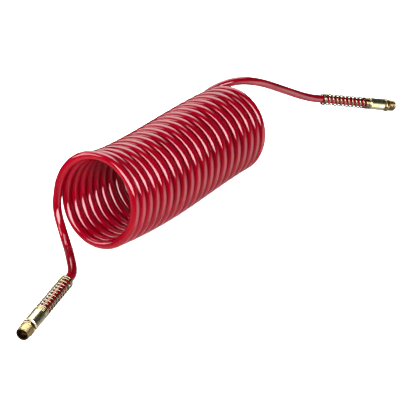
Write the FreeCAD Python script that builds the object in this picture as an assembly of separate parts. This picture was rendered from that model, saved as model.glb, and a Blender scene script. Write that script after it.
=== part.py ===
import FreeCAD, Part
import math
import os

from FreeCAD import Vector

# A self-recoiling air hose lying on a floor. One tube is wound into a right-handed coil whose axis is
# level and runs along +Y. A free tail leaves each end of the coil and ends in the same assembly: a wire
# spring guard, a crimped ferrule, a barbed stem and a male pipe fitting that swivels on the stem.
# Millimetres, +Z up, the floor is Z = 0, and the origin is on the floor under the middle of the whole part.

os.makedirs("parts", exist_ok=True)

# The tube
tube_outside = 9.525
tube_bore = 6.35

# The coil
coil_radius = 45.39         # to the tube's centre
coil_turns = 20
first_turn_flare = 0.0659   # the free first turn is wider by this share, which dies away over
flare_turns = 1.28          # this many turns
coil_bulge = 0.0292         # share by which the middle of the coil is wider
coil_growth = 0.0066        # share by which the far end is wider, and the near end narrower
coil_lean = 0.1532          # the tops of the turns stand back by this share of their height
flat_depth = 0.5            # the turns rest on flats of this depth

# Clear gap between one turn and the next, at these shares of the turns, counted from the near end
turn_gaps = [(0.0, 0.63), (0.20, 1.13), (0.40, 2.63), (0.55, 3.83), (0.70, 5.23), (0.85, 3.93), (1.0, 1.93)]

# The coil's axis wanders sideways: millimetres in all, of u, of u squared and of u cubed, where u runs from
# -1 at the near end of the coil to 1 at its far end
axis_wander = (1.72, -5.96, -5.90, 7.75)

# The tails' routes: X from the coil's axis, Y from that end of the coil, Z above the floor. The first run
# leaves the coil along its tangent, and the last run lies in the end assembly's axis, from mouth to tip.
near_first_run = 21.0
near_route = [(-41.4, -10.0, 10.9), (-20.7, -27.1, 3.5), (-3.7, -45.4, 8.7)]
near_last_run = 17.6
near_mouth = (26.1, -87.5, 7.35)
near_tip = (57.9, -192.5, 7.35)
far_first_run = 18.8
far_route = [(-40.2, 12.3, 83.2), (-19.0, 33.3, 94.1), (-2.2, 59.8, 87.9), (0.2, 113.0, 60.7)]
far_last_run = 21.9
far_mouth = (20.4, 167.4, 36.05)
far_tip = (69.6, 264.9, 6.1)
run_share = 0.45            # each bend uses this share of its shorter run
coil_end_straight = tube_outside

# The spring guard
spring_wire = 1.6
spring_clearance = 0.95     # wire to tube
spring_close_turns = 1.5    # at the mouth
spring_open_turns = 10
spring_seat_turns = 3       # on the ferrule's shank
spring_close_gap = 0.45     # wire to wire in the close turns
spring_open_gap = 4.55      # and in the open turns

# The ferrule
ferrule_outside = 14.4
ferrule_length = 22.3       # the full-width part
ferrule_front_wall = 1.6
ferrule_chamfer = 1.1
ferrule_edge = 0.4
seat_clearance = 0.05       # spring on shank, ferrule on tube, and flange in ferrule

# The barbed stem
stem_bore = 4.0
barb_count = 4
barb_pitch = 4.2
barb_depth = 0.45
barb_press = 0.12           # the barbs are larger than the tube's bore by this much on the radius
stem_flange_step = 0.95     # the flange is wider than the tube by this much on the radius
stem_flange_length = 1.9
stem_edge = 0.4
journal_radius = 3.9
journal_clearance = 0.05
journal_nose = 1.0          # past the retaining ring

# The O-ring and the retaining ring
o_ring_section = 1.0
o_ring_clearance = 0.025
o_ring_groove_width = 1.5
o_ring_inset = 1.9          # the groove starts this far inside the hexagon
ring_thickness = 0.9
ring_width = 1.05
ring_groove_depth = 0.55
ring_split = 1.6

# The male fitting
swivel_gap = 1.1            # ferrule's front face to the hexagon
hex_across_flats = 14.29
hex_length = 5.6
hex_chamfer = 0.7
rear_bore_length = 7.2
front_bore_clearance = 0.15  # round the retaining ring
front_bore_countersink = 0.5
thread_large_radius = 6.95  # crest radius beside the hexagon
thread_taper = 1.0 / 32.0   # on the radius
thread_pitch = 25.4 / 18.0
thread_count = 7
thread_tip_chamfer = 0.9

tube_radius = tube_outside / 2.0
bore_radius = tube_bore / 2.0
axis_height = coil_radius + tube_radius - flat_depth
last_turn = float(coil_turns)
samples_per_turn = 48


def distance_at(turn):
    """How far along the coil a turn lies: tube widths and gaps added up."""
    total = turn * tube_outside
    for (share_a, gap_a), (share_b, gap_b) in zip(turn_gaps, turn_gaps[1:]):
        whole = (share_b - share_a) * last_turn
        done = min(max(turn - share_a * last_turn, 0.0), whole)
        total += done * (gap_a + (gap_b - gap_a) * done / whole / 2.0)
    return total


def coil_point(turn):
    """Centre of the tube: X from the coil's axis, Y from the coil's start, Z above the floor."""
    inside = min(max(turn, 0.0), last_turn)
    along = distance_at(inside)
    u = 2.0 * along / distance_at(last_turn) - 1.0
    flare = first_turn_flare * math.exp(-inside / flare_turns)
    radius = coil_radius * (1.0 + flare + coil_growth * u + coil_bulge * (1.0 - u ** 2))
    wander = sum(part * u ** power for power, part in enumerate(axis_wander))
    angle = 2.0 * math.pi * inside
    x = wander - radius * math.cos(angle)
    z = radius + tube_radius - flat_depth + radius * math.sin(angle)
    y = along + coil_lean * (z - axis_height)
    return Vector(x, y, z)


def coil_tangent(turn):
    step = 1e-4
    return (coil_point(turn + step) - coil_point(turn - step)).normalize()


def arc_middle(start, tangent, end):
    """Middle of the arc that leaves start along tangent and ends at end."""
    chord = end - start
    along = chord * (1.0 / chord.Length)
    sideways = tangent - along * tangent.dot(along)
    turn = math.atan2(sideways.Length, tangent.dot(along))
    return start + chord * 0.5 + sideways.normalize() * (chord.Length / 2.0 * math.tan(turn / 2.0))


def biarc(start, start_way, end, end_way):
    """Two arcs from start to end that meet in one tangent."""
    span = end - start
    both = start_way + end_way
    a = 2.0 * (1.0 - start_way.dot(end_way))
    b = span.dot(both)
    reach = (-b + math.sqrt(b * b + a * span.dot(span))) / a
    joint = (start + start_way * reach + end - end_way * reach) * 0.5
    first = Part.Arc(start, arc_middle(start, start_way, joint), joint)
    second = Part.Arc(joint, arc_middle(end, end_way * -1.0, joint), end)
    return [first.toShape(), second.toShape()]


def sweep(path, start, way, radius):
    circle = Part.Wire([Part.Circle(start, way, radius).toShape()])
    return path.makePipeShell([circle], True, False)


def tube_along(edges, start, way):
    """The tube with its bore, put together from the walls of two sweeps and a ring at each end."""
    path = Part.Wire(edges)
    outside = sweep(path, start, way, tube_radius)
    inside = sweep(path, start, way, bore_radius)
    walls = [face for face in outside.Faces + inside.Faces if not is_flat(face)]
    bore_ends = [face for face in inside.Faces if is_flat(face)]
    rings = []
    for end in [face for face in outside.Faces if is_flat(face)]:
        hole = min(bore_ends, key=lambda face: (face.CenterOfMass - end.CenterOfMass).Length)
        rings.append(end.cut(hole).Faces[0])
    shell = Part.makeShell(walls + rings)
    shell.sewShape()
    tube = Part.makeSolid(shell)
    tube.fix(1e-6, 1e-6, 1e-5)
    return tube


def is_flat(face):
    return isinstance(face.Surface, Part.Plane)


def least_gap(points, width):
    """Least distance from any turn to the next, less the width of the tube or wire."""
    turn = samples_per_turn
    least = min(
        here.distanceToPoint(there)
        for i, here in enumerate(points)
        for there in points[i + turn // 2:i + turn * 3 // 2])
    return least - width


def coil_edges():
    """Straight end, turns on biarcs of a quarter turn, straight end."""
    near_end = coil_point(0.0)
    far_end = coil_point(last_turn)
    near_start = near_end - coil_tangent(0.0) * coil_end_straight
    far_stop = far_end + coil_tangent(last_turn) * coil_end_straight
    edges = [Part.LineSegment(near_start, near_end).toShape()]
    for quarter in range(coil_turns * 4):
        a = quarter / 4.0
        b = (quarter + 1) / 4.0
        edges += biarc(coil_point(a), coil_tangent(a), coil_point(b), coil_tangent(b))
    edges.append(Part.LineSegment(far_end, far_stop).toShape())
    return edges


def hose_coil():
    edges = coil_edges()
    points = [coil_point(i / samples_per_turn) for i in range(coil_turns * samples_per_turn + 1)]
    print("coil: least gap to itself %.2f mm" % least_gap(points, tube_outside))
    print("coil: %.0f mm of tube" % sum(edge.Length for edge in edges))
    way = coil_tangent(0.0)
    tube = tube_along(edges, coil_point(0.0) - way * coil_end_straight, way)
    room = 2.0 * coil_radius
    below_floor = Part.makeBox(
        4.0 * room, distance_at(last_turn) + 2.0 * room, room, Vector(-2.0 * room, -room, -room))
    return tube.cut(below_floor)


def route_edges(points):
    """Straight runs joined by tangent arcs, and the radii of the arcs."""
    edges = []
    radii = []
    at = points[0]
    for before, here, after in zip(points, points[1:], points[2:]):
        back = before - here
        ahead = after - here
        reach = run_share * min(back.Length, ahead.Length)
        back.normalize()
        ahead.normalize()
        half_turn = (math.pi - back.getAngle(ahead)) / 2.0
        radius = reach / math.tan(half_turn)
        inward = (back + ahead).normalize()
        middle = here + inward * (radius / math.cos(half_turn) - radius)
        edges.append(Part.LineSegment(at, here + back * reach).toShape())
        edges.append(Part.Arc(here + back * reach, middle, here + ahead * reach).toShape())
        at = here + ahead * reach
        radii.append(radius)
    edges.append(Part.LineSegment(at, points[-1]).toShape())
    return edges, radii


def tail(coil_end, way, first_run, route, last_run, mouth, tip_point):
    """Free tail from the coil's straight end, through the spring guard, to the stem's flange."""
    axis = (tip_point - mouth).normalize()
    points = [coil_end, coil_end + way * first_run] + route + [mouth - axis * last_run, mouth]
    edges, radii = route_edges(points)
    start = coil_end + way * coil_end_straight
    edges[0] = Part.LineSegment(start, edges[0].Vertexes[-1].Point).toShape()
    edges[-1] = Part.LineSegment(edges[-1].Vertexes[0].Point, mouth + axis * tube_end).toShape()
    length = sum(edge.Length for edge in edges)
    lowest = min(point.z for edge in edges for point in edge.discretize(20)) - tube_radius
    print("tail: radii " + ", ".join("%.1f" % radius for radius in radii))
    print("tail: %.0f mm of tube, lowest %.2f mm above the floor" % (length, lowest))
    return tube_along(edges, start, way)


def turned(outline):
    """A closed outline of (along, radius) turned about the end assembly's axis, which is X here."""
    points = [Vector(along, radius, 0) for along, radius in outline]
    face = Part.Face(Part.makePolygon(points + [points[0]]))
    return face.revolve(Vector(0, 0, 0), Vector(1, 0, 0), 360)


# Radii and distances along the end assembly, from the spring guard's mouth
wire_radius = spring_wire / 2.0
spring_radius = tube_radius + spring_clearance + wire_radius
spring_close_pitch = spring_wire + spring_close_gap
spring_open_pitch = spring_wire + spring_open_gap
spring_stations = [(0.0, wire_radius)]
for turns, pitch in [
        (spring_close_turns, spring_close_pitch),
        (spring_open_turns, spring_open_pitch),
        (spring_seat_turns, spring_close_pitch)]:
    turn, along = spring_stations[-1]
    spring_stations.append((turn + turns, along + turns * pitch))
ferrule_start = spring_stations[-1][1] + wire_radius + seat_clearance
ferrule_front = ferrule_start + ferrule_length
shank_length = spring_seat_turns * spring_close_pitch + seat_clearance
flange_radius = tube_radius + stem_flange_step
flange_front = ferrule_front - ferrule_front_wall
tube_end = flange_front - stem_flange_length
swivel_bore_radius = journal_radius + journal_clearance
hex_back = ferrule_front + swivel_gap
hex_front = hex_back + hex_length
rear_bore_end = hex_back + rear_bore_length
ring_start = rear_bore_end + journal_clearance
ring_inner = journal_radius - ring_groove_depth + journal_clearance
ring_outer = ring_inner + ring_width
front_bore_radius = ring_outer + front_bore_clearance
ring_groove_end = ring_start + ring_thickness + journal_clearance
journal_end = ring_groove_end + journal_nose
o_ring_groove_start = hex_back + o_ring_inset
o_ring_groove_end = o_ring_groove_start + o_ring_groove_width
o_ring_groove_radius = swivel_bore_radius - o_ring_section - 2.0 * o_ring_clearance
thread_start = hex_front + thread_pitch / 4.0
thread_depth = 0.8 * thread_pitch
tip = thread_start + thread_count * thread_pitch


def spring_point(turn):
    """Centre of the wire, on a right-handed helix about X."""
    along = spring_stations[-1][1]
    for (turn_a, along_a), (turn_b, along_b) in zip(spring_stations, spring_stations[1:]):
        if turn <= turn_b:
            along = along_a + (along_b - along_a) * (turn - turn_a) / (turn_b - turn_a)
            break
    angle = 2.0 * math.pi * turn
    return Vector(along, -spring_radius * math.sin(angle), spring_radius * math.cos(angle))


def spring_tangent(turn):
    step = 0.02
    last = spring_stations[-1][0]
    before = max(turn - step, 0.0)
    after = min(turn + step, last)
    rise = (spring_point(after).x - spring_point(before).x) / (after - before)
    angle = 2.0 * math.pi * turn
    around = Vector(0, -math.cos(angle), -math.sin(angle)) * (2.0 * math.pi * spring_radius)
    return (Vector(rise, 0, 0) + around).normalize()


def spring_guard():
    quarters = int(round(spring_stations[-1][0] * 4))
    edges = []
    for quarter in range(quarters):
        a = quarter / 4.0
        b = (quarter + 1) / 4.0
        edges += biarc(spring_point(a), spring_tangent(a), spring_point(b), spring_tangent(b))
    points = [spring_point(i / samples_per_turn) for i in range(quarters * samples_per_turn // 4 + 1)]
    print("spring guard: least gap to itself %.2f mm" % least_gap(points, spring_wire))
    return sweep(Part.Wire(edges), spring_point(0.0), spring_tangent(0.0), wire_radius)


def ferrule():
    shank_radius = spring_radius - wire_radius - seat_clearance
    tube_hole = tube_radius + seat_clearance
    outside = ferrule_outside / 2.0
    flange_room = flange_radius + seat_clearance
    back = ferrule_start - shank_length
    shank_edge = (shank_radius - tube_hole) / 2.0
    return turned([
        (back, tube_hole),
        (back, shank_radius - shank_edge),
        (back + shank_edge, shank_radius),
        (ferrule_start, shank_radius),
        (ferrule_start, outside - ferrule_edge),
        (ferrule_start + ferrule_edge, outside),
        (ferrule_front - ferrule_chamfer, outside),
        (ferrule_front, outside - ferrule_chamfer),
        (ferrule_front, swivel_bore_radius),
        (flange_front, swivel_bore_radius),
        (flange_front, flange_room),
        (tube_end, flange_room),
        (tube_end, tube_hole)])


def stem():
    bore = stem_bore / 2.0
    crest = bore_radius + barb_press
    root = crest - barb_depth
    slope = 0.75 * barb_pitch
    back = tube_end - (barb_count + 0.5) * barb_pitch
    outline = [(back, bore), (back, root)]
    for barb in range(barb_count):
        start = tube_end - (barb_count - barb) * barb_pitch
        outline += [(start, root), (start + slope, crest), (start + slope, root)]
    outline += [
        (tube_end, root),
        (tube_end, flange_radius),
        (flange_front, flange_radius),
        (flange_front, journal_radius),
        (o_ring_groove_start, journal_radius),
        (o_ring_groove_start, o_ring_groove_radius),
        (o_ring_groove_end, o_ring_groove_radius),
        (o_ring_groove_end, journal_radius),
        (ring_start, journal_radius),
        (ring_start, journal_radius - ring_groove_depth),
        (ring_groove_end, journal_radius - ring_groove_depth),
        (ring_groove_end, journal_radius),
        (journal_end - stem_edge, journal_radius),
        (journal_end, journal_radius - stem_edge),
        (journal_end, bore)]
    return turned(outline)


def o_ring():
    section_radius = o_ring_section / 2.0
    centre = Vector((o_ring_groove_start + o_ring_groove_end) / 2.0, 0, 0)
    ring_radius = o_ring_groove_radius + o_ring_clearance + section_radius
    return Part.makeTorus(ring_radius, section_radius, centre, Vector(1, 0, 0))


def retaining_ring():
    """A split ring in the journal's groove, in front of the step in the male fitting's bore."""
    start = ring_start + journal_clearance / 2.0
    end = start + ring_thickness
    ring = turned([(start, ring_inner), (start, ring_outer), (end, ring_outer), (end, ring_inner)])
    corner = Vector(start - ring_thickness / 2.0, -ring_split / 2.0, 0)
    return ring.cut(Part.makeBox(ring_thickness * 2.0, ring_split, ring_outer * 2.0, corner))


def hexagon_head():
    flat = hex_across_flats / 2.0
    corner = flat / math.cos(math.pi / 6.0)
    corners = []
    for i in range(7):
        angle = i * math.pi / 3.0
        corners.append(Vector(hex_back, corner * math.cos(angle), corner * math.sin(angle)))
    prism = Part.Face(Part.makePolygon(corners)).extrude(Vector(hex_length, 0, 0))
    rise = (corner - flat + hex_chamfer) * math.tan(math.pi / 6.0)
    chamfered = turned([
        (hex_back, 0),
        (hex_back, flat - hex_chamfer),
        (hex_back + rise, corner),
        (hex_front - rise, corner),
        (hex_front, flat - hex_chamfer),
        (hex_front, 0)])
    return prism.common(chamfered)


def male_fitting():
    """Hexagon, taper thread with its turns as rings, and a stepped bore."""
    root = thread_large_radius - thread_depth
    crest_half_width = 0.08 * thread_pitch
    outline = [(hex_back + hex_length / 2.0, 0), (hex_back + hex_length / 2.0, root), (thread_start, root)]
    for turn in range(thread_count):
        middle = thread_start + (turn + 0.5) * thread_pitch
        crest = thread_large_radius - (middle - hex_front) * thread_taper
        outline += [(middle - crest_half_width, crest), (middle + crest_half_width, crest)]
        if turn < thread_count - 1:
            outline.append((middle + thread_pitch / 2.0, crest - thread_depth))
    tip_radius = crest - thread_tip_chamfer
    outline += [(tip, tip_radius), (tip, 0)]
    body = hexagon_head().fuse(turned(outline))
    countersink = min(front_bore_countersink, (tip_radius - front_bore_radius) / 2.0)
    mouth_radius = front_bore_radius + countersink
    bores = turned([
        (hex_back - 1.0, 0),
        (hex_back - 1.0, swivel_bore_radius),
        (rear_bore_end, swivel_bore_radius),
        (rear_bore_end, front_bore_radius),
        (tip - countersink, front_bore_radius),
        (tip, mouth_radius),
        (tip + 1.0, mouth_radius),
        (tip + 1.0, 0)])
    return body.cut(bores).removeSplitter()


def placement(mouth, tip_point):
    """Puts the end assembly's X on the line from mouth to tip, with its Y level."""
    x_axis = (tip_point - mouth).normalize()
    y_axis = Vector(0, 0, 1).cross(x_axis).normalize()
    z_axis = x_axis.cross(y_axis)
    return FreeCAD.Placement(FreeCAD.Matrix(
        x_axis.x, y_axis.x, z_axis.x, mouth.x,
        x_axis.y, y_axis.y, z_axis.y, mouth.y,
        x_axis.z, y_axis.z, z_axis.z, mouth.z,
        0, 0, 0, 1))


def from_end(coil_end, point):
    """A route point, whose Y is counted from that end of the coil."""
    return Vector(point[0], coil_end.y + point[1], point[2])


end_pieces = {
    "spring_guard": spring_guard(),
    "ferrule": ferrule(),
    "stem": stem(),
    "o_ring": o_ring(),
    "retaining_ring": retaining_ring(),
    "male_fitting": male_fitting(),
}
ends = {
    "near": (0.0, -1.0, near_first_run, near_route, near_last_run, near_mouth, near_tip),
    "far": (last_turn, 1.0, far_first_run, far_route, far_last_run, far_mouth, far_tip),
}
shapes = {"hose_coil": hose_coil()}
axes = {}
for side, (turn, sense, first_run, route, last_run, mouth, tip_point) in ends.items():
    coil_end = coil_point(turn)
    way = coil_tangent(turn) * sense
    points = [from_end(coil_end, point) for point in route]
    mouth = from_end(coil_end, mouth)
    tip_point = from_end(coil_end, tip_point)
    shapes[side + "_tail"] = tail(coil_end, way, first_run, points, last_run, mouth, tip_point)
    for name, shape in end_pieces.items():
        placed = shape.copy()
        placed.Placement = placement(mouth, tip_point)
        shapes[side + "_" + name] = placed
    axes[side] = (mouth, (tip_point - mouth).normalize())

whole = FreeCAD.BoundBox()
for shape in shapes.values():
    whole.add(shape.optimalBoundingBox())
to_origin = Vector(-whole.Center.x, -whole.Center.y, 0)
print("whole: %.2f by %.2f by %.2f mm" % (whole.XLength, whole.YLength, whole.ZLength))
for side, (mouth, axis) in axes.items():
    hexagon = mouth + axis * hex_back + to_origin
    end = mouth + axis * tip + to_origin
    print(side, "hexagon at", tuple(hexagon), "tip at", tuple(end), "axis", tuple(axis))
for name, shape in shapes.items():
    moved = shape.copy()
    moved.translate(to_origin)
    moved.exportStep("parts/" + name + ".step")
    print("%-22s %9.1f mm3, %d solid" % (name, moved.Volume, len(moved.Solids)))
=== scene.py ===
import math

import bmesh
import bpy
import numpy as np
from mathutils import Matrix, Vector


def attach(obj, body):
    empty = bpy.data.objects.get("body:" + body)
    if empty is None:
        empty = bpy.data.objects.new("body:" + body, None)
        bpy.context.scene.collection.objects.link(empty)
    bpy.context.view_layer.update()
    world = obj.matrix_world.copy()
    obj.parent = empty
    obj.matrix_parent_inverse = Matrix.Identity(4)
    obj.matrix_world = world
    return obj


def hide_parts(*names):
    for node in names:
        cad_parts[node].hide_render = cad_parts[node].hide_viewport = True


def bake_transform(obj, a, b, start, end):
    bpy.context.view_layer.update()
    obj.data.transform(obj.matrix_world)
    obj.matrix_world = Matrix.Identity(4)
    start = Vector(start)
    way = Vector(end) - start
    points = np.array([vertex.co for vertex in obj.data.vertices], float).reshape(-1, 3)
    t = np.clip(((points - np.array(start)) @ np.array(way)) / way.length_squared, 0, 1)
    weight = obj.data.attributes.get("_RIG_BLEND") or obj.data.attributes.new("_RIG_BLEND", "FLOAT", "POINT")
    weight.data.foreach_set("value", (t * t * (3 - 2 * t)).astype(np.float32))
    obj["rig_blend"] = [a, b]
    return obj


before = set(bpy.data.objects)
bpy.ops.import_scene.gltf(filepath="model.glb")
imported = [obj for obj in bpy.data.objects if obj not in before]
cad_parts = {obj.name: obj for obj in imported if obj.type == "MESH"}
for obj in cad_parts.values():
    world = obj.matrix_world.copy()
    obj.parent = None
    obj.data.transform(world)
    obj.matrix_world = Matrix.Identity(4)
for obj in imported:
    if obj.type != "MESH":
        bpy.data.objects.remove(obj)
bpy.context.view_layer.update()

bl_info = {
    "name": "Coiled Air Hose",
    "version": (1, 0, 0),
    "blender": (4, 5, 0),
    "location": "3D View > Sidebar > Air Hose",
    "description": "Builds a self-recoiling air hose with spring guards, ferrules and swivel fittings",
    "category": "Add Mesh",
}

MM = 0.001

# The routes are counted from the coil: X from its axis, Y from its near end, Z above the floor.
# This is where that place stands in the part.
COIL_PLACE = Vector((-7.8159, -159.1214, 0.0)) * MM

# The tails' routes, in millimetres. Each Y is counted from that end of the coil.
ROUTES = {
    "near": {
        "first_run": 21.0,
        "points": [(-41.4, -10.0, 10.9), (-20.7, -27.1, 3.5), (-3.7, -45.4, 8.7)],
        "last_run": 17.6,
        "mouth": (26.1, -87.5, 7.35),
        "tip": (57.9, -192.5, 7.35),
    },
    "far": {
        "first_run": 18.8,
        "points": [(-40.2, 12.3, 83.2), (-19.0, 33.3, 94.1), (-2.2, 59.8, 87.9), (0.2, 113.0, 60.7)],
        "last_run": 21.9,
        "mouth": (20.4, 167.4, 36.05),
        "tip": (69.6, 264.9, 6.1),
    },
}

# How far the tube's line may start from its place in the near ferrule
ROUTE_TOLERANCE = 0.01 * MM

# Shares of the turns, counted from the near end, at which the clear gap to the next turn is given
GAP_SHARES = (0.0, 0.20, 0.40, 0.55, 0.70, 0.85, 1.0)

# How far the far end moves when the coil is drawn out, and over how many turns each end eases into that
FULL_STRETCH = 3.2
EASE_TURNS = 0.5

# The bodies that carry the spring guard and the ferrule of each end
CARRIED_BY = {"near": "hose", "far": "far_end"}

# Distances along an end, counted from the spring guard's mouth
SHANK_BACK = 66.175 * MM
FERRULE_BACK = 72.375 * MM
TUBE_END = 91.175 * MM
FLANGE_FRONT = 93.075 * MM
FERRULE_FRONT = 94.675 * MM
HEX_BACK = 95.775 * MM
HEX_FRONT = 101.375 * MM
THREAD_START = 101.728 * MM
REAR_BORE_END = 102.975 * MM
TIP = 111.606 * MM
THREAD_END = TIP - 0.5 * MM

# Radii about an end's axis
JOURNAL_HOLE = 3.95 * MM
BORE_RADIUS = 4.6 * MM
TUBE_HOLE = 4.8125 * MM
SHANK_RADIUS = 5.6625 * MM
TIP_RADIUS = 5.75 * MM
FLANGE_ROOM = 5.7625 * MM

# Chamfers and rounded edges
SHANK_CHAMFER = 0.425 * MM
SHOULDER_CHAMFER = 0.4 * MM
FRONT_CHAMFER = 1.1 * MM
HEX_CHAMFER = 0.7 * MM
BORE_CHAMFER = 0.5 * MM
NOSE_LENGTH = 1.2 * MM
NOSE_DEPTH = 1.0 * MM
EDGE_ROUNDING = 0.15 * MM

# Thread: its radii at the hexagon, the radius that it loses per length, and its depth, flank and run-out
# as shares of the pitch
THREAD_CREST = 6.95 * MM
THREAD_ROOT = 5.82 * MM
THREAD_TAPER = 1.0 / 32.0
THREAD_DEPTH = 0.8
THREAD_FLANK = 0.42
THREAD_RUNOUT = 0.7

# Fineness of the meshes
COIL_POINTS_PER_TURN = 24
WIRE_STEPS_PER_TURN = 40
WIRE_SIDES = 12
THREAD_STEPS_PER_PITCH = 12
FERRULE_SIDES = 64
FITTING_SIDES = 72

# The camera, fitted to the outlines in the photograph
CAMERA_PLACE = Vector((0.927346, -1.335093, 0.759447))
CAMERA_RIGHT = Vector((0.823922, 0.566704, -0.000079))
CAMERA_UP = Vector((-0.240908, 0.350378, 0.905096))
CAMERA_LENS = 145.14
SENSOR_WIDTH = 36.0

# The floor's half width, the way to the brightest part of the sheet that the hose mirrors, and the place
# that the lights face
FLOOR_HALF = 30.0
BRIGHTEST_WAY = Vector((0.951, 0.255, -0.174))
LIT_PLACE = Vector((0.0, 0.0, 0.05))

# Lights: bearing from +Y towards +X and elevation in degrees, distance, width, height and brightness
LIGHTS = {
    "front_softbox": (155.0, 28.0, 2.3, 3.0, 1.1, 18.0),
    "back_softbox": (-52.0, 52.0, 1.8, 2.1, 1.6, 6.0),
    "left_softbox": (-132.0, 23.0, 2.3, 1.5, 0.75, 9.0),
}

# A Mix node's sockets for colours, by number because it has others of the same names
FIRST_COLOUR = 6
SECOND_COLOUR = 7
MIXED_COLOUR = 2


# Colours, nodes and meshes

def clipped(value):
    """A value kept between 0 and 1."""
    return min(max(value, 0.0), 1.0)


def linear(code):
    """An sRGB hex colour as linear red, green, blue and alpha."""
    channels = [int(code[i:i + 2], 16) / 255.0 for i in (1, 3, 5)]
    return [c / 12.92 if c <= 0.04045 else ((c + 0.055) / 1.055) ** 2.4 for c in channels] + [1.0]


def as_hex(tint):
    """A colour property, whose values are linear, as the hex code that linear() takes."""
    channels = [12.92 * c if c <= 0.0031308 else 1.055 * c ** (1 / 2.4) - 0.055 for c in tint[:3]]
    return "#" + "".join("%02X" % round(255 * clipped(c)) for c in channels)


def add_node(tree, kind, inputs=None, stops=None, **settings):
    """Adds a node. Each input gets a value or the socket that feeds it, and stops fill a colour ramp."""
    node = tree.nodes.new(kind)
    for name, value in settings.items():
        setattr(node, name, value)
    for socket, value in (inputs or {}).items():
        if isinstance(value, bpy.types.NodeSocket):
            tree.links.new(value, node.inputs[socket])
        else:
            node.inputs[socket].default_value = value
    for i, (position, code) in enumerate(stops or []):
        ramp = node.color_ramp.elements
        stop = ramp[i] if i < 2 else ramp.new(position)
        stop.position = position
        stop.color = linear(code)
    return node


def new_material(name, settings):
    """A material with a Principled shader of these settings, its node tree and the shader."""
    material = bpy.data.materials.new(name)
    material.use_nodes = True
    tree = material.node_tree
    tree.nodes.clear()
    shader = add_node(tree, "ShaderNodeBsdfPrincipled", settings)
    add_node(tree, "ShaderNodeOutputMaterial", {"Surface": shader.outputs["BSDF"]})
    return material, tree, shader


def link_piece(name, data):
    """Puts a new object with this data in the scene."""
    piece = bpy.data.objects.new(name, data)
    bpy.context.scene.collection.objects.link(piece)
    return piece


def matrix_at(place, x_axis, y_axis, z_axis):
    """Matrix that puts something at a place, with its own axes along these three."""
    return Matrix.Translation(place) @ Matrix((x_axis, y_axis, z_axis)).transposed().to_4x4()


def plain_mesh(piece):
    """An object's shape with its modifiers applied, as a new mesh."""
    depsgraph = bpy.context.evaluated_depsgraph_get()
    return bpy.data.meshes.new_from_object(piece.evaluated_get(depsgraph), depsgraph=depsgraph)


def new_tree(name, sizes):
    """A Geometry Nodes tree with one geometry in, one out and a named input for each size."""
    tree = bpy.data.node_groups.new(name, "GeometryNodeTree")
    tree.interface.new_socket(name="Geometry", in_out="OUTPUT", socket_type="NodeSocketGeometry")
    tree.interface.new_socket(name="Geometry", in_out="INPUT", socket_type="NodeSocketGeometry")
    for label, kind in sizes:
        tree.interface.new_socket(name=label, in_out="INPUT", socket_type=kind)
    return tree, tree.nodes.new("NodeGroupInput").outputs


def finish_tree(tree, geometry, material_socket):
    """Ends a tree in Realize Instances and Set Material."""
    real = add_node(tree, "GeometryNodeRealizeInstances", {"Geometry": geometry})
    done = add_node(
        tree, "GeometryNodeSetMaterial", {"Geometry": real.outputs[0], "Material": material_socket})
    add_node(tree, "NodeGroupOutput", {0: done.outputs[0]})


def grown(name, seed_mesh, tree, values):
    """Runs a tree on a seed mesh and returns the result as a plain mesh object of that name."""
    seed = link_piece(name + "_seed", seed_mesh)
    modifier = seed.modifiers.new(tree.name, "NODES")
    modifier.node_group = tree
    for item in tree.interface.items_tree:
        if item.in_out == "INPUT" and item.name in values:
            modifier[item.identifier] = values[item.name]
    mesh = plain_mesh(seed)
    bpy.data.objects.remove(seed)
    mesh.name = name
    return link_piece(name, mesh)


# Settings

def distance(name, description, millimetres):
    """A length."""
    return bpy.props.FloatProperty(
        name=name, description=description, default=millimetres * MM, min=0.0, precision=5,
        subtype="DISTANCE", unit="LENGTH")


def distances(name, description, millimetres):
    """A row of lengths, which may be negative."""
    return bpy.props.FloatVectorProperty(
        name=name, description=description, default=[part * MM for part in millimetres],
        size=len(millimetres), precision=5, unit="LENGTH")


def number(name, description, default, subtype="NONE"):
    """A number or, with the subtype FACTOR, a share."""
    return bpy.props.FloatProperty(name=name, description=description, default=default, subtype=subtype)


def count(name, description, default, least):
    """A whole number."""
    return bpy.props.IntProperty(name=name, description=description, default=default, min=least)


def colour(name, description, code):
    """A colour, from its hex code."""
    return bpy.props.FloatVectorProperty(
        name=name, description=description, default=linear(code)[:3], size=3, min=0.0, max=1.0,
        subtype="COLOR")


class AirHoseTube(bpy.types.PropertyGroup):
    outside: distance("Outside Diameter", "Outside diameter of the tube", 9.525)
    bore: distance("Bore", "Inside diameter of the tube", 6.35)
    coil_radius: distance("Coil Radius", "From the coil's axis to the tube's centre", 45.39)
    turns: count("Turns", "Number of turns in the coil", 20, 2)
    flare: number("First Turn Flare", "Share by which the free first turn is wider", 0.0659, "FACTOR")
    flare_turns: number("Flare Turns", "Turns over which the flare dies away", 1.28)
    bulge: number("Bulge", "Share by which the middle of the coil is wider", 0.0292, "FACTOR")
    growth: number(
        "Growth", "Share by which the far end is wider and the near end narrower", 0.0066, "FACTOR")
    lean: number("Lean", "How far the tops of the turns stand back, per height", 0.1532, "FACTOR")
    gaps: distances(
        "Turn Gaps", "Clear gap from one turn to the next at seven places along the coil",
        (0.40, 0.71, 3.25, 3.28, 5.92, 4.24, 1.02))
    wander: distances(
        "Axis Wander", "Sideways wander of the coil's axis along its length", (1.92, -5.96, -5.90, 7.75))
    flat_depth: distance("Flat Depth", "Depth of the flats that the turns rest on", 0.5)
    ring_spacing: distance("Ring Spacing", "Distance between the rings of the tube's mesh", 3.6)
    sides: count("Sides", "Faces round the tube", 32, 8)
    bore_sides: count("Bore Sides", "Faces round the bore", 12, 8)
    tint: colour("Tint", "Colour of the tube's plastic", "#68000F")
    deep_tint: colour("Deep Tint", "Colour of the plastic where it is darkest", "#580009")


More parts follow.
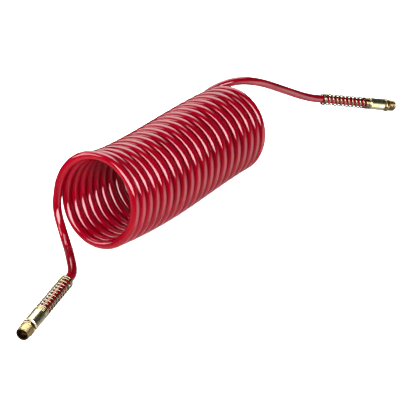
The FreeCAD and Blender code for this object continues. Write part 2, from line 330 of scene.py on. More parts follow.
class AirHoseEnds(bpy.types.PropertyGroup):
    wire: distance("Wire Diameter", "Diameter of the spring guard's wire", 1.6)
    spring_radius: distance("Spring Radius", "From the spring's axis to the wire's centre", 6.5125)
    close_turns: number("Close Turns", "Close turns at the mouth", 1.5)
    open_turns: number("Open Turns", "Open turns", 10.5)
    seat_turns: number("Seat Turns", "Close turns on the ferrule's shank", 3.0)
    close_pitch: distance("Close Pitch", "Wire to wire in the close turns", 2.05)
    open_pitch: distance("Open Pitch", "Wire to wire in the open turns", 5.857)
    ferrule_radius: distance("Ferrule Radius", "Outside radius of the ferrule", 7.2)
    hex_flats: distance("Across Flats", "Width of the hexagon across its flats", 14.29)
    thread_pitch: distance("Thread Pitch", "Pitch of the pipe thread", 25.4 / 18.0)
    zinc: colour("Zinc", "Colour of the ferrule's yellow zinc plating", "#ADA683")
    wire_zinc: colour("Wire Zinc", "Colour of the wire's yellow zinc plating", "#807757")
    brass: colour("Brass", "Colour of the brass", "#877553")


class AirHoseStage(bpy.types.PropertyGroup):
    floor: colour("Floor", "Colour of the floor", "#FFFFFF")


# Route

def along_at(tube, turn):
    """How far along the coil a turn lies: tube widths and gaps added up."""
    total = turn * tube.outside
    for share_a, share_b, gap_a, gap_b in zip(GAP_SHARES, GAP_SHARES[1:], tube.gaps, tube.gaps[1:]):
        whole = (share_b - share_a) * tube.turns
        done = min(max(turn - share_a * tube.turns, 0.0), whole)
        total += done * (gap_a + (gap_b - gap_a) * done / whole / 2.0)
    return total


def coil_point(tube, turn, widen=1.0):
    """Centre of the tube at a turn of the coil, in the part's place."""
    inside = min(max(turn, 0.0), float(tube.turns))
    tube_radius = tube.outside / 2.0
    along = along_at(tube, inside)
    u = 2.0 * along / along_at(tube, tube.turns) - 1.0
    flare = tube.flare * math.exp(-inside / tube.flare_turns)
    radius = tube.coil_radius * (1.0 + flare + tube.growth * u + tube.bulge * (1.0 - u ** 2))
    drift = sum(part * u ** power for power, part in enumerate(tube.wander))
    angle = 2.0 * math.pi * inside
    x = drift - widen * radius * math.cos(angle)
    z = radius + tube_radius - tube.flat_depth + widen * radius * math.sin(angle)
    axis_height = tube.coil_radius + tube_radius - tube.flat_depth
    return Vector((x, along + tube.lean * (z - axis_height), z)) + COIL_PLACE


def coil_way(tube, turn):
    """Direction of the tube at a turn of the coil."""
    step = 1e-4
    return (coil_point(tube, turn + step) - coil_point(tube, turn - step)).normalized()


def route_point(coil_end, point):
    """A point of a tail's route, in the part's place."""
    x, y, z = point
    return Vector((x * MM + COIL_PLACE.x, y * MM + coil_end.y, z * MM))


def end_place(tube, side):
    """Matrix that puts an end's own X on the line from mouth to tip, with its Y level."""
    route = ROUTES[side]
    coil_end = coil_point(tube, 0.0 if side == "near" else tube.turns)
    mouth, tip = (route_point(coil_end, route[name]) for name in ("mouth", "tip"))
    x_axis = (tip - mouth).normalized()
    y_axis = Vector((0.0, 0.0, 1.0)).cross(x_axis).normalized()
    return matrix_at(mouth, x_axis, y_axis, x_axis.cross(y_axis))


def tail_points(tube, side):
    """Control points of a tail, from the coil outwards to the tube's end inside the ferrule."""
    route = ROUTES[side]
    turn, sense = (0.0, -1.0) if side == "near" else (float(tube.turns), 1.0)
    coil_end = coil_point(tube, turn)
    place = end_place(tube, side)
    bends = [route_point(coil_end, point) for point in route["points"]]
    ahead = coil_end + coil_way(tube, turn) * sense * route["first_run"] * MM
    last = [place @ Vector((x, 0.0, 0.0)) for x in (-route["last_run"] * MM, 0.0, TUBE_END)]
    return [ahead] + bends + last


def hose_route(tube):
    """The whole hose as one smooth line: near tail, coil and far tail."""
    per_turn = COIL_POINTS_PER_TURN
    # a smooth line runs a little inside its control points, so the coil's stand that much further out
    widen = 1.0 / math.cos(math.pi / per_turn)
    turns = [coil_point(tube, i / per_turn, widen) for i in range(tube.turns * per_turn + 1)]
    points = tail_points(tube, "near")[::-1] + turns + tail_points(tube, "far")
    curve = bpy.data.curves.new("hose_route", "CURVE")
    curve.dimensions = "3D"
    spline = curve.splines.new("NURBS")
    spline.points.add(len(points) - 1)
    for control, point in zip(spline.points, points):
        control.co = (*point, 1.0)
    spline.order_u = 3
    spline.use_endpoint_u = True
    spline.resolution_u = 12
    route = link_piece("hose_route", curve)
    line = plain_mesh(route)
    bpy.data.objects.remove(route)
    return line


# Materials

def dress(tree, shader, tint, wear, wear_span, roughness, marks, depth):
    """Gives a shader its tint, its roughness by a pattern of wear and its relief by a pattern of marks.

    The roughness goes from its first value to its second where the wear goes from the first value of its
    span to the second. The relief is as deep as depth says."""
    tree.links.new(tint, shader.inputs["Base Color"])
    sheen = add_node(
        tree, "ShaderNodeMapRange",
        {"Value": wear.outputs["Fac"], "From Min": wear_span[0], "From Max": wear_span[1],
         "To Min": roughness[0], "To Max": roughness[1]})
    tree.links.new(sheen.outputs[0], shader.inputs["Roughness"])
    relief = add_node(
        tree, "ShaderNodeBump", {"Height": marks.outputs["Fac"], "Distance": depth, "Strength": 1.0})
    tree.links.new(relief.outputs["Normal"], shader.inputs["Normal"])


def own_place(tree):
    """Each point's place in the end's own frame, and the parts of that place along X, Y and Z."""
    place = add_node(tree, "ShaderNodeAttribute", attribute_name="own_place").outputs["Vector"]
    return place, add_node(tree, "ShaderNodeSeparateXYZ", {"Vector": place}).outputs


def out_from_axis(tree, parts):
    """How far each point is from the end's axis."""
    beside = add_node(tree, "ShaderNodeCombineXYZ", {"Y": parts["Y"], "Z": parts["Z"]})
    out = add_node(tree, "ShaderNodeVectorMath", {0: beside.outputs[0]}, operation="LENGTH")
    return out.outputs["Value"]


def tube_material(tube):
    """Extruded polyurethane: a clear red that soaks up light, with a glossy skin.

    The eye gets deep red with sharp pink streaks, faint lines from the die and faint scuffs."""
    material, tree, shader = new_material(
        "red_polyurethane_extruded",
        {"IOR": 1.5, "Specular Tint": (1.0, 0.72, 0.75, 1.0), "Subsurface Weight": 0.3,
         "Subsurface Radius": (1.0, 0.05, 0.06), "Subsurface Scale": 0.003})
    place = add_node(tree, "ShaderNodeAttribute", attribute_name="tube_place").outputs["Vector"]
    drift = add_node(tree, "ShaderNodeTexNoise", {"Vector": place, "Scale": 12.0, "Detail": 2.0})
    tint = add_node(
        tree, "ShaderNodeValToRGB", {"Fac": drift.outputs["Fac"]},
        stops=[(0.35, as_hex(tube.deep_tint)), (0.65, as_hex(tube.tint))])
    # scuffs some millimetres wide, where the skin is a little duller
    scuffs = add_node(tree, "ShaderNodeTexNoise", {"Vector": place, "Scale": 260.0, "Detail": 4.0})
    # lines along the tube, half a millimetre apart and less than a micrometre deep
    stretched = add_node(
        tree, "ShaderNodeVectorMath", {0: place, 1: (1.0, 1.0, 0.01)}, operation="MULTIPLY")
    lines = add_node(tree, "ShaderNodeTexNoise", {"Vector": stretched.outputs[0], "Scale": 2000.0})
    dress(
        tree, shader, tint.outputs["Color"], wear=scuffs, wear_span=(0.45, 0.75), roughness=(0.06, 0.10),
        marks=lines, depth=0.0004 * MM)
    return material


def wire_material(ends):
    """Drawn steel wire in yellow zinc: olive to warm grey, rubbed in spots, with painted shade inside the
    winding.
    """
    material, tree, shader = new_material("yellow_zinc_drawn_wire", {"Metallic": 1.0})
    place, parts = own_place(tree)
    drift = add_node(tree, "ShaderNodeTexNoise", {"Vector": place, "Scale": 150.0, "Detail": 3.0})
    tint = add_node(
        tree, "ShaderNodeValToRGB", {"Fac": drift.outputs["Fac"]},
        stops=[(0.35, "#787050"), (0.68, "#887A74"), (0.5, as_hex(ends.wire_zinc))])
    # painted shade: the side of the wire that faces the tube is darkened, as little light gets there
    inward = add_node(
        tree, "ShaderNodeMapRange",
        {"Value": out_from_axis(tree, parts), "From Min": ends.spring_radius - 0.4 * MM,
         "From Max": ends.spring_radius + 0.5 * MM, "To Min": 1.0, "To Max": 0.0})
    shaded_inside = add_node(
        tree, "ShaderNodeMix",
        {"Factor": inward.outputs[0], FIRST_COLOUR: tint.outputs["Color"],
         SECOND_COLOUR: linear("#17130B")},
        data_type="RGBA")
    # rubbed spots of the plating, a millimetre or so wide
    rubs = add_node(tree, "ShaderNodeTexNoise", {"Vector": place, "Scale": 900.0, "Detail": 3.0})
    dress(
        tree, shader, shaded_inside.outputs[MIXED_COLOUR], wear=rubs, wear_span=(0.3, 0.7),
        roughness=(0.10, 0.22), marks=rubs, depth=0.004 * MM)
    return material


def ferrule_material(ends):
    """Turned steel in yellow zinc: pale straw, with rings from the tool, scuffs and greenish drifts."""
    material, tree, shader = new_material("yellow_zinc_turned_steel", {"Metallic": 1.0})
    place, parts = own_place(tree)
    drift = add_node(tree, "ShaderNodeTexNoise", {"Vector": place, "Scale": 120.0, "Detail": 3.0})
    tint = add_node(
        tree, "ShaderNodeValToRGB", {"Fac": drift.outputs["Fac"]},
        stops=[(0.3, "#A9A67C"), (0.72, "#BCB0A4"), (0.5, as_hex(ends.zinc))])
    rings = add_node(
        tree, "ShaderNodeTexNoise", {"W": parts["X"], "Scale": 6000.0, "Detail": 2.0},
        noise_dimensions="1D")
    scuffs = add_node(tree, "ShaderNodeTexNoise", {"Vector": place, "Scale": 500.0, "Detail": 5.0})
    dress(
        tree, shader, tint.outputs["Color"], wear=scuffs, wear_span=(0.35, 0.7), roughness=(0.24, 0.36),
        marks=rings, depth=0.001 * MM)
    return material


def brass_material(ends):
    """Machined brass, dulled by handling: tool rings, scuffs, pale rubbed corners, painted shade in the
    thread and bore.
    """
    material, tree, shader = new_material("brass_machined", {"Metallic": 1.0})
    place, parts = own_place(tree)
    out = out_from_axis(tree, parts)
    drift = add_node(tree, "ShaderNodeTexNoise", {"Vector": place, "Scale": 200.0, "Detail": 3.0})
    tint = add_node(
        tree, "ShaderNodeValToRGB", {"Fac": drift.outputs["Fac"]},
        stops=[(0.3, "#806D49"), (0.7, as_hex(ends.brass))])
    # the hexagon's corners are rubbed bright
    corner = add_node(
        tree, "ShaderNodeMapRange",
        {"Value": out, "From Min": 7.75 * MM, "From Max": 8.2 * MM, "To Min": 0.0, "To Max": 0.7})
    rubbed = add_node(
        tree, "ShaderNodeMix",
        {"Factor": corner.outputs[0], FIRST_COLOUR: tint.outputs["Color"],
         SECOND_COLOUR: linear("#C4B38C")},
        data_type="RGBA")
    # painted shade: the bore and the thread's roots are darkened, as little light gets into them
    root = add_node(
        tree, "ShaderNodeMapRange",
        {"Value": out, "From Min": 5.2 * MM, "From Max": 6.5 * MM, "To Min": 0.97, "To Max": 0.0})
    bore_shade = add_node(
        tree, "ShaderNodeMix",
        {"Factor": root.outputs[0], FIRST_COLOUR: rubbed.outputs[MIXED_COLOUR],
         SECOND_COLOUR: linear("#20160A")},
        data_type="RGBA")
    rings = add_node(
        tree, "ShaderNodeTexNoise", {"W": parts["X"], "Scale": 8000.0, "Detail": 2.0},
        noise_dimensions="1D")
    scuffs = add_node(tree, "ShaderNodeTexNoise", {"Vector": place, "Scale": 600.0, "Detail": 5.0})
    dress(
        tree, shader, bore_shade.outputs[MIXED_COLOUR], wear=scuffs, wear_span=(0.35, 0.7),
        roughness=(0.22, 0.36), marks=rings, depth=0.0008 * MM)
    return material


def inner_material(name, code, metallic, roughness):
    """A part inside the swivel: its plain colour, clouded and a little uneven in its sheen and surface."""
    material, tree, shader = new_material(name, {"Metallic": metallic})
    clouded = 0.7
    uneven = 0.08
    place = add_node(tree, "ShaderNodeTexCoord").outputs["Object"]
    drift = add_node(tree, "ShaderNodeTexNoise", {"Vector": place, "Scale": 300.0, "Detail": 3.0})
    darker = [channel * clouded for channel in linear(code)[:3]] + [1.0]
    tint = add_node(
        tree, "ShaderNodeMix",
        {"Factor": drift.outputs["Fac"], FIRST_COLOUR: linear(code), SECOND_COLOUR: darker},
        data_type="RGBA")
    grain = add_node(tree, "ShaderNodeTexNoise", {"Vector": place, "Scale": 1500.0, "Detail": 4.0})
    dress(
        tree, shader, tint.outputs[MIXED_COLOUR], wear=grain, wear_span=(0.3, 0.7),
        roughness=(roughness - uneven, roughness + uneven), marks=grain, depth=0.01 * MM)
    return material


# Trees

def tube_tree():
    """Tube with its bore along a line, with rings at even distances and flats where it meets the floor."""
    tree, given = new_tree("Hose Tube", [
        ("Outside Radius", "NodeSocketFloat"),
        ("Bore Radius", "NodeSocketFloat"),
        ("Ring Spacing", "NodeSocketFloat"),
        ("Sides", "NodeSocketInt"),
        ("Bore Sides", "NodeSocketInt"),
        ("Material", "NodeSocketMaterial"),
    ])
    line = add_node(tree, "GeometryNodeMeshToCurve", {"Mesh": given["Geometry"]})
    rings = add_node(
        tree, "GeometryNodeResampleCurve", {"Curve": line.outputs[0], "Length": given["Ring Spacing"]},
        mode="LENGTH")
    run = add_node(tree, "GeometryNodeSplineParameter")
    rail = add_node(
        tree, "GeometryNodeStoreNamedAttribute",
        {"Geometry": rings.outputs[0], "Name": "run", "Value": run.outputs["Length"]},
        data_type="FLOAT", domain="POINT")
    walls = []
    for radius, sides in (("Outside Radius", "Sides"), ("Bore Radius", "Bore Sides")):
        circle = add_node(
            tree, "GeometryNodeCurvePrimitiveCircle",
            {"Resolution": given[sides], "Radius": given[radius]})
        side = add_node(tree, "GeometryNodeInputPosition")
        profile = add_node(
            tree, "GeometryNodeStoreNamedAttribute",
            {"Geometry": circle.outputs[0], "Name": "side", "Value": side.outputs[0]},
            data_type="FLOAT_VECTOR", domain="POINT")
        wall = add_node(
            tree, "GeometryNodeCurveToMesh",
            {"Curve": rail.outputs[0], "Profile Curve": profile.outputs[0]})
        walls.append(wall.outputs[0])
    inner = add_node(tree, "GeometryNodeFlipFaces", {"Mesh": walls[1]})
    both = add_node(tree, "GeometryNodeJoinGeometry")
    tree.links.new(walls[0], both.inputs[0])
    tree.links.new(inner.outputs[0], both.inputs[0])
    # place on the straightened tube, for patterns that follow it
    side = add_node(tree, "GeometryNodeInputNamedAttribute", {"Name": "side"}, data_type="FLOAT_VECTOR")
    run = add_node(tree, "GeometryNodeInputNamedAttribute", {"Name": "run"}, data_type="FLOAT")
    apart = add_node(tree, "ShaderNodeSeparateXYZ", {"Vector": side.outputs[0]}).outputs
    place = add_node(
        tree, "ShaderNodeCombineXYZ", {"X": apart["X"], "Y": apart["Y"], "Z": run.outputs[0]})
    placed = add_node(
        tree, "GeometryNodeStoreNamedAttribute",
        {"Geometry": both.outputs[0], "Name": "tube_place", "Value": place.outputs[0]},
        data_type="FLOAT_VECTOR", domain="POINT")
    # the floor flattens the tube a little where it lies on it
    point = add_node(tree, "GeometryNodeInputPosition")
    here = add_node(tree, "ShaderNodeSeparateXYZ", {"Vector": point.outputs[0]}).outputs
    height = add_node(tree, "ShaderNodeMath", {0: here["Z"], 1: 0.0}, operation="MAXIMUM")
    lifted = add_node(
        tree, "ShaderNodeCombineXYZ", {"X": here["X"], "Y": here["Y"], "Z": height.outputs[0]})
    resting = add_node(
        tree, "GeometryNodeSetPosition", {"Geometry": placed.outputs[0], "Position": lifted.outputs[0]})
    smooth = add_node(tree, "GeometryNodeSetShadeSmooth", {"Geometry": resting.outputs[0]})
    finish_tree(tree, smooth.outputs[0], given["Material"])
    return tree


def spring_tree():
    """Round wire wound about X: close turns, open turns and close turns again."""
    tree, given = new_tree("Spring Guard", [
        ("Wire Radius", "NodeSocketFloat"),
        ("Coil Radius", "NodeSocketFloat"),
        ("Close Turns", "NodeSocketFloat"),
        ("Open Turns", "NodeSocketFloat"),
        ("Seat Turns", "NodeSocketFloat"),
        ("Close Pitch", "NodeSocketFloat"),
        ("Open Pitch", "NodeSocketFloat"),
        ("Steps Per Turn", "NodeSocketInt"),
        ("Wire Sides", "NodeSocketInt"),
        ("Material", "NodeSocketMaterial"),
    ])
    found = dict(given.items())
    found["index"] = add_node(tree, "GeometryNodeInputIndex").outputs[0]
    # each row names a result, its operation and its terms, which are inputs, earlier results or numbers
    for result, operation, *terms in (
            ("before seat", "ADD", "Close Turns", "Open Turns"),
            ("turns", "ADD", "before seat", "Seat Turns"),
            ("steps", "MULTIPLY", "turns", "Steps Per Turn"),
            ("count", "ADD", "steps", 1.0),
            ("turn", "DIVIDE", "index", "Steps Per Turn"),
            ("closed", "MINIMUM", "turn", "Close Turns"),
            ("closed run", "MULTIPLY", "closed", "Close Pitch"),
            ("past closed", "SUBTRACT", "turn", "Close Turns"),
            ("at least none", "MAXIMUM", "past closed", 0.0),
            ("opened", "MINIMUM", "at least none", "Open Turns"),
            ("open run", "MULTIPLY", "opened", "Open Pitch"),
            ("past opened", "SUBTRACT", "turn", "before seat"),
            ("seated", "MAXIMUM", "past opened", 0.0),
            ("seat run", "MULTIPLY", "seated", "Close Pitch"),
            ("free run", "ADD", "closed run", "open run"),
            ("last run", "ADD", "seat run", "Wire Radius"),
            ("along", "ADD", "free run", "last run"),
            ("angle", "MULTIPLY", "turn", 2.0 * math.pi),
            ("sine", "SINE", "angle"),
            ("left", "MULTIPLY", "sine", "Coil Radius"),
            ("across", "MULTIPLY", "left", -1.0),
            ("cosine", "COSINE", "angle"),
            ("up", "MULTIPLY", "cosine", "Coil Radius")):
        inputs = {i: found[term] if isinstance(term, str) else term for i, term in enumerate(terms)}
        found[result] = add_node(tree, "ShaderNodeMath", inputs, operation=operation).outputs[0]
    line = add_node(tree, "GeometryNodeMeshLine", {"Count": found["count"]})
    helix = add_node(
        tree, "ShaderNodeCombineXYZ", {"X": found["along"], "Y": found["across"], "Z": found["up"]})
    wound = add_node(
        tree, "GeometryNodeSetPosition", {"Geometry": line.outputs[0], "Position": helix.outputs[0]})
    rail = add_node(tree, "GeometryNodeMeshToCurve", {"Mesh": wound.outputs[0]})
    section = add_node(
        tree, "GeometryNodeCurvePrimitiveCircle",
        {"Resolution": given["Wire Sides"], "Radius": given["Wire Radius"]})
    wire = add_node(
        tree, "GeometryNodeCurveToMesh",
        {"Curve": rail.outputs[0], "Profile Curve": section.outputs[0], "Fill Caps": True})
    smooth = add_node(tree, "GeometryNodeSetShadeSmooth", {"Geometry": wire.outputs[0]})
    finish_tree(tree, smooth.outputs[0], given["Material"])
    return tree


# Pieces of an end

def turned_piece(name, rings, sides):
    """A closed shell about X. Each ring gives (along, radius) at an angle, and the last joins the first."""
    verts = []
    for ring in rings:
        for i in range(sides):
            angle = 2.0 * math.pi * i / sides
            along, radius = ring(angle) if callable(ring) else ring
            verts.append((along, radius * math.cos(angle), radius * math.sin(angle)))
    faces = []
    for k in range(len(rings)):
        a, b = k * sides, ((k + 1) % len(rings)) * sides
        for i in range(sides):
            j = (i + 1) % sides
            faces.append((a + i, a + j, b + j, b + i))
    mesh = bpy.data.meshes.new(name)
    mesh.from_pydata(verts, [], faces)
    mesh.validate()
    shell = bmesh.new()
    shell.from_mesh(mesh)
    bmesh.ops.remove_doubles(shell, verts=shell.verts, dist=1e-7)
    bmesh.ops.recalc_face_normals(shell, faces=shell.faces)
    shell.to_mesh(mesh)
    shell.free()
    mesh.shade_smooth()
    return link_piece(name, mesh)


def round_edges(piece, width):
    """Rounds a piece's sharp edges and keeps the result as its plain mesh."""
    bevel = piece.modifiers.new("Edges", "BEVEL")
    bevel.width = width
    bevel.segments = 2
    bevel.limit_method = "ANGLE"
    bevel.angle_limit = math.radians(25)
    bevel.harden_normals = True
    mesh = plain_mesh(piece)
    piece.modifiers.clear()
    piece.data = mesh
    mesh.name = piece.name


def put_on_end(piece, tube, side):
    """Notes each point's own place, for patterns that follow the end's axis, and puts the piece there."""
    mesh = piece.data
    places = np.zeros(len(mesh.vertices) * 3, np.float32)
    mesh.vertices.foreach_get("co", places)
    kept = mesh.attributes.new("own_place", "FLOAT_VECTOR", "POINT")
    kept.data.foreach_set("vector", places)
    mesh.transform(end_place(tube, side))


# Operators

class AIRHOSE_OT_tube(bpy.types.Operator):
    """Draw the tube in one length: near tail, coil and far tail"""
    bl_idname = "airhose.tube"
    bl_label = "Build Tube"

    def execute(self, context):
        tube = context.scene.air_hose_tube
        line = hose_route(tube)
        path = np.array([point.co for point in line.vertices])
        steps = np.linalg.norm(np.diff(path, axis=0), axis=1)
        run_at = np.concatenate([[0.0], np.cumsum(steps)])
        hose = grown("hose_tube", line, tube_tree(), {
            "Outside Radius": tube.outside / 2.0,
            "Bore Radius": tube.bore / 2.0,
            "Ring Spacing": tube.ring_spacing,
            "Sides": tube.sides,
            "Bore Sides": tube.bore_sides,
            "Material": tube_material(tube),
        })
        self.close_ends(hose.data)
        runs = np.zeros(len(hose.data.vertices), np.float32)
        hose.data.attributes["run"].data.foreach_get("value", runs)
        for name in ("run", "side"):
            hose.data.attributes.remove(hose.data.attributes[name])
        near_end = Vector(path[0])
        if (near_end - end_place(tube, "near") @ Vector((TUBE_END, 0, 0))).length > ROUTE_TOLERANCE:
            raise RuntimeError("the tube's line doesn't start at the near ferrule")
        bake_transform(hose, "hose", "far_end", coil_point(tube, 0.0), coil_point(tube, tube.turns))
        self.share_stretch(tube, hose.data, runs, path, run_at)
        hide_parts("hose_coil", "near_tail", "far_tail")
        return {"FINISHED"}

    @staticmethod
    def close_ends(mesh):
        """Closes the tube's wall with a ring at each end."""
        shell = bmesh.new()
        shell.from_mesh(mesh)
        rims = [edge for edge in shell.edges if edge.is_boundary]
        middle = sum((edge.verts[0].co.y for edge in rims), 0.0) / len(rims)
        near_rims = [edge for edge in rims if edge.verts[0].co.y < middle]
        far_rims = [edge for edge in rims if edge.verts[0].co.y >= middle]
        for pair in (near_rims, far_rims):
            bmesh.ops.bridge_loops(shell, edges=pair)
        bmesh.ops.recalc_face_normals(shell, faces=shell.faces)
        shell.to_mesh(mesh)
        shell.free()

    @staticmethod
    def share_stretch(tube, mesh, runs, path, run_at):
        """Gives each ring of the tube its share of the stretch, by the turns that lie before it.

        A share by place alone would pull a ring's own front and back apart and thicken the tube. Half a
        turn at each end of the coil eases in. A little is added for the place within the ring, so that
        the tube keeps its full thickness where the turns open."""
        starts = [
            run_at[np.linalg.norm(path - np.array(coil_point(tube, turn)), axis=1).argmin()]
            for turn in (0.0, tube.turns)]
        coil_length = starts[1] - starts[0]
        done = np.clip((runs - starts[0]) / coil_length, 0.0, 1.0)
        ease = EASE_TURNS / tube.turns
        edge = np.minimum(done, 1.0 - done)
        eased = np.where(edge < ease, edge ** 2 / (2.0 * ease), edge - ease / 2.0) / (1.0 - ease)
        share = np.where(done < 0.5, eased, 1.0 - eased)
        slope = np.clip(edge / ease, 0.0, 1.0) / (1.0 - ease) * FULL_STRETCH / coil_length
        places = np.zeros(len(mesh.vertices) * 3, np.float32)
        mesh.vertices.foreach_get("co", places)
        beside = places[1::3] - np.interp(runs, run_at, path[:, 1])
        share = share + beside * (np.sqrt(1.0 + slope ** 2) - 1.0) / FULL_STRETCH
        mesh.attributes["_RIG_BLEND"].data.foreach_set("value", np.clip(share, 0.0, 1.0).astype(np.float32))


class AIRHOSE_OT_spring_guards(bpy.types.Operator):
    """Wind the wire spring guards at both ends"""
    bl_idname = "airhose.spring_guards"
    bl_label = "Build Spring Guards"

    def execute(self, context):
        tube, ends = context.scene.air_hose_tube, context.scene.air_hose_ends
        tree = spring_tree()
        material = wire_material(ends)
        for side, body in CARRIED_BY.items():
            spring = grown(side + "_spring", bpy.data.meshes.new("seed"), tree, {
                "Wire Radius": ends.wire / 2.0,
                "Coil Radius": ends.spring_radius,
                "Close Turns": ends.close_turns,
                "Open Turns": ends.open_turns,
                "Seat Turns": ends.seat_turns,
                "Close Pitch": ends.close_pitch,
                "Open Pitch": ends.open_pitch,
                "Steps Per Turn": WIRE_STEPS_PER_TURN,
                "Wire Sides": WIRE_SIDES,
                "Material": material,
            })
            put_on_end(spring, tube, side)
            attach(spring, body)
            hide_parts(side + "_spring_guard")
        return {"FINISHED"}


class AIRHOSE_OT_ferrules(bpy.types.Operator):
    """Turn the ferrules that hold the spring guards and the stems on the tube"""
    bl_idname = "airhose.ferrules"
    bl_label = "Build Ferrules"

    def execute(self, context):
        tube, ends = context.scene.air_hose_tube, context.scene.air_hose_ends
        material = ferrule_material(ends)
        outside = ends.ferrule_radius
        outline = [
            (SHANK_BACK, TUBE_HOLE),
            (SHANK_BACK, SHANK_RADIUS - SHANK_CHAMFER),
            (SHANK_BACK + SHANK_CHAMFER, SHANK_RADIUS),
            (FERRULE_BACK, SHANK_RADIUS),
            (FERRULE_BACK, outside - SHOULDER_CHAMFER),
            (FERRULE_BACK + SHOULDER_CHAMFER, outside),
            (FERRULE_FRONT - FRONT_CHAMFER, outside),
            (FERRULE_FRONT, outside - FRONT_CHAMFER),
            (FERRULE_FRONT, JOURNAL_HOLE),
            (FLANGE_FRONT, JOURNAL_HOLE),
            (FLANGE_FRONT, FLANGE_ROOM),
            (TUBE_END, FLANGE_ROOM),
            (TUBE_END, TUBE_HOLE),
        ]
        for side, body in CARRIED_BY.items():
            ferrule = turned_piece(side + "_ferrule_turned", outline, FERRULE_SIDES)
            round_edges(ferrule, EDGE_ROUNDING)
            put_on_end(ferrule, tube, side)
            ferrule.data.materials.append(material)
            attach(ferrule, body)
            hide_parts(side + "_ferrule")
        return {"FINISHED"}


class AIRHOSE_OT_male_fittings(bpy.types.Operator):
    """Turn and thread the male pipe fittings"""
    bl_idname = "airhose.male_fittings"
    bl_label = "Build Male Fittings"

    def execute(self, context):
        tube, ends = context.scene.air_hose_tube, context.scene.air_hose_ends
        material = brass_material(ends)
        rings = self.hexagon(ends.hex_flats / 2.0) + self.thread(ends.thread_pitch)
        rings += [
            (TIP, TIP_RADIUS),
            (TIP, BORE_RADIUS + BORE_CHAMFER),
            (TIP - BORE_CHAMFER, BORE_RADIUS),
            (REAR_BORE_END, BORE_RADIUS),
            (REAR_BORE_END, JOURNAL_HOLE),
        ]
        for side, body in (("near", "near_male"), ("far", "far_male")):
            fitting = turned_piece(side + "_male_turned", rings, FITTING_SIDES)
            put_on_end(fitting, tube, side)
            fitting.data.materials.append(material)
            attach(fitting, body)
            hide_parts(side + "_male_fitting")
        return {"FINISHED"}

    @staticmethod
    def hexagon(flat):
        """Rings of the hexagon, from its back to its front, with its corners cut at 30 degrees."""
        slope = math.tan(math.pi / 6.0)

        def reach(angle):
            return flat / math.cos((angle % (math.pi / 3.0)) - math.pi / 6.0)

        def chamfer(face, way):
            return lambda angle: (face + way * (reach(angle) - flat + HEX_CHAMFER) * slope, reach(angle))

        return [
            (HEX_BACK, JOURNAL_HOLE),
            (HEX_BACK, flat - HEX_CHAMFER),
            chamfer(HEX_BACK, 1.0),
            chamfer(HEX_FRONT, -1.0),
            (HEX_FRONT, flat - HEX_CHAMFER),
            (HEX_FRONT, THREAD_ROOT),
        ]

    @staticmethod
    def thread(pitch):
        """Rings of the taper thread, which rises out of the hexagon's front and is cut back at the nose."""
        length = THREAD_END - HEX_FRONT
        steps = int(length / pitch * THREAD_STEPS_PER_PITCH)

        def at(along):
            crest = THREAD_CREST - (along - HEX_FRONT) * THREAD_TAPER
            runout = clipped((along - HEX_FRONT) / (THREAD_RUNOUT * pitch))
            nose = clipped((TIP - along) / NOSE_LENGTH)
            limit = crest - (1.0 - nose) * NOSE_DEPTH

            def ring(angle):
                phase = ((along - THREAD_START) / pitch - angle / (2.0 * math.pi)) % 1.0
                height = clipped((0.5 - abs(phase - 0.5)) / THREAD_FLANK)
                return along, min(crest - THREAD_DEPTH * pitch * (1.0 - height * runout), limit)

            return ring

        return [at(HEX_FRONT + length * i / steps) for i in range(steps + 1)]


class AIRHOSE_OT_inner_parts(bpy.types.Operator):
    """Finish the stems, O-rings and retaining rings, which keep their CAD shapes"""
    bl_idname = "airhose.inner_parts"
    bl_label = "Finish Inner Parts"

    def execute(self, context):
        finishes = {
            "stem": inner_material("brass_stem_turned", "#A88C58", metallic=1.0, roughness=0.3),
            "o_ring": inner_material("nitrile_rubber_moulded", "#181818", metallic=0.0, roughness=0.6),
            "retaining_ring": inner_material(
                "spring_steel_phosphated", "#3A3A3C", metallic=1.0, roughness=0.4),
        }
        for side in ("near", "far"):
            for kind, material in finishes.items():
                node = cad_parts[side + "_" + kind]
                for slot in node.material_slots:
                    slot.material = material
        return {"FINISHED"}


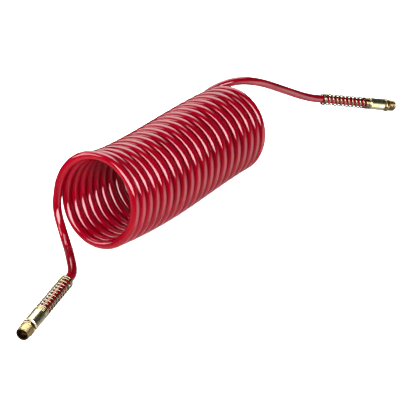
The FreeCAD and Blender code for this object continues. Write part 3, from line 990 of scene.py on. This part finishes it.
class AIRHOSE_OT_stage(bpy.types.Operator):
    """Set up the floor, the studio lights and the camera"""
    bl_idname = "airhose.stage"
    bl_label = "Set Up Stage"

    def execute(self, context):
        scene = context.scene
        scene.view_settings.view_transform = "Standard"
        self.floor(scene.air_hose_stage)
        self.camera(scene)
        self.room(scene)
        self.lights()
        return {"FINISHED"}

    @staticmethod
    def floor(stage):
        """A white sheet, lit from below as a light table is, so that no shadow shows on it."""
        mesh = bpy.data.meshes.new("floor")
        corners = [(-1, -1), (1, -1), (1, 1), (-1, 1)]
        mesh.from_pydata([(x * FLOOR_HALF, y * FLOOR_HALF, 0) for x, y in corners], [], [(0, 1, 2, 3)])
        floor = link_piece("floor", mesh)
        material, tree, shader = new_material(
            "white_acrylic_sheet",
            {"Roughness": 0.6, "Emission Color": (1, 1, 1, 1), "Emission Strength": 0.95})
        place = add_node(tree, "ShaderNodeTexCoord").outputs["Object"]
        drift = add_node(tree, "ShaderNodeTexNoise", {"Vector": place, "Scale": 3.0})
        tint = add_node(
            tree, "ShaderNodeValToRGB", {"Fac": drift.outputs["Fac"]},
            stops=[(0.3, "#F4F4F4"), (0.7, as_hex(stage.floor))])
        tree.links.new(tint.outputs["Color"], shader.inputs["Base Color"])
        mesh.materials.append(material)
        # what the hose mirrors of the floor is the world's sheet, which is brighter on one side
        floor.visible_glossy = False

    @staticmethod
    def camera(scene):
        """The camera, with the place, the aim and the lens that were fitted to the photograph."""
        data = bpy.data.cameras.new("camera")
        data.sensor_width = SENSOR_WIDTH
        data.lens = CAMERA_LENS
        camera = link_piece("camera", data)
        back = CAMERA_RIGHT.cross(CAMERA_UP)
        camera.matrix_world = matrix_at(CAMERA_PLACE, CAMERA_RIGHT, CAMERA_UP, back)
        scene.camera = camera

    @staticmethod
    def room(scene):
        """A dark room over a white sheet that is brightest on the side where the tails' tips lie."""
        world = bpy.data.worlds.new("studio")
        world.use_nodes = True
        tree = world.node_tree
        way = add_node(tree, "ShaderNodeTexCoord").outputs["Generated"]
        height = add_node(tree, "ShaderNodeSeparateXYZ", {"Vector": way}).outputs["Z"]
        # the sheet fades out towards the horizon
        sheet = add_node(
            tree, "ShaderNodeMapRange",
            {"Value": height, "From Min": -0.6, "From Max": -0.05, "To Min": 0.75, "To Max": 0.04})
        # its brightest part lies low on the +X side and ends a little above the horizon
        closeness = add_node(
            tree, "ShaderNodeVectorMath", {0: way, 1: BRIGHTEST_WAY}, operation="DOT_PRODUCT")
        glow = add_node(
            tree, "ShaderNodeMapRange",
            {"Value": closeness.outputs["Value"], "From Min": 0.70, "From Max": 1.0,
             "To Min": 0.0, "To Max": 3.6})
        below = add_node(
            tree, "ShaderNodeMapRange",
            {"Value": height, "From Min": 0.0, "From Max": 0.2, "To Min": 1.0, "To Max": 0.0})
        low_glow = add_node(
            tree, "ShaderNodeMath", {0: glow.outputs[0], 1: below.outputs[0]}, operation="MULTIPLY")
        both = add_node(
            tree, "ShaderNodeMath", {0: sheet.outputs[0], 1: low_glow.outputs[0]}, operation="ADD")
        # seen directly, the room is as white as the floor
        seen = add_node(tree, "ShaderNodeLightPath").outputs["Is Camera Ray"]
        strength = add_node(
            tree, "ShaderNodeMix", {"Factor": seen, "A": both.outputs[0], "B": 1.0}, data_type="FLOAT")
        background = tree.nodes["Background"]
        background.inputs["Color"].default_value = (1.0, 1.0, 1.0, 1.0)
        tree.links.new(strength.outputs[0], background.inputs["Strength"])
        scene.world = world

    @staticmethod
    def lights():
        """Softboxes that face the hose, each with its long sides level."""
        for name, (bearing, elevation, away, width, height, brightness) in LIGHTS.items():
            data = bpy.data.lights.new(name, "AREA")
            data.shape = "RECTANGLE"
            data.size, data.size_y = width, height
            data.energy = brightness * math.pi * width * height
            light = link_piece(name, data)
            a, e = math.radians(bearing), math.radians(elevation)
            way = Vector((math.sin(a) * math.cos(e), math.cos(a) * math.cos(e), math.sin(e)))
            level = Vector((0.0, 0.0, 1.0)).cross(way).normalized()
            light.matrix_world = matrix_at(LIT_PLACE + way * away, level, way.cross(level), way)


class AIRHOSE_PT_panel(bpy.types.Panel):
    """Buttons for every piece of the hose and for the stage"""
    bl_idname = "AIRHOSE_PT_panel"
    bl_label = "Coiled Air Hose"
    bl_space_type = "VIEW_3D"
    bl_region_type = "UI"
    bl_category = "Air Hose"

    def draw(self, context):
        for operator in OPERATORS:
            self.layout.operator(operator.bl_idname)
        for group in ("air_hose_tube", "air_hose_ends", "air_hose_stage"):
            settings = getattr(context.scene, group)
            box = self.layout.box()
            for name in settings.bl_rna.properties.keys():
                if name not in ("rna_type", "name"):
                    box.prop(settings, name)


GROUPS = {"air_hose_tube": AirHoseTube, "air_hose_ends": AirHoseEnds, "air_hose_stage": AirHoseStage}
OPERATORS = (
    AIRHOSE_OT_tube,
    AIRHOSE_OT_spring_guards,
    AIRHOSE_OT_ferrules,
    AIRHOSE_OT_male_fittings,
    AIRHOSE_OT_inner_parts,
    AIRHOSE_OT_stage,
)


def register():
    for kind in (*GROUPS.values(), *OPERATORS, AIRHOSE_PT_panel):
        bpy.utils.register_class(kind)
    for name, group in GROUPS.items():
        setattr(bpy.types.Scene, name, bpy.props.PointerProperty(type=group))


def unregister():
    for name in GROUPS:
        delattr(bpy.types.Scene, name)
    for kind in (AIRHOSE_PT_panel, *OPERATORS, *GROUPS.values()):
        bpy.utils.unregister_class(kind)


def main():
    register()
    for operator in OPERATORS:
        group, name = operator.bl_idname.split(".")
        getattr(getattr(bpy.ops, group), name)()


if __name__ == "__main__":
    main()
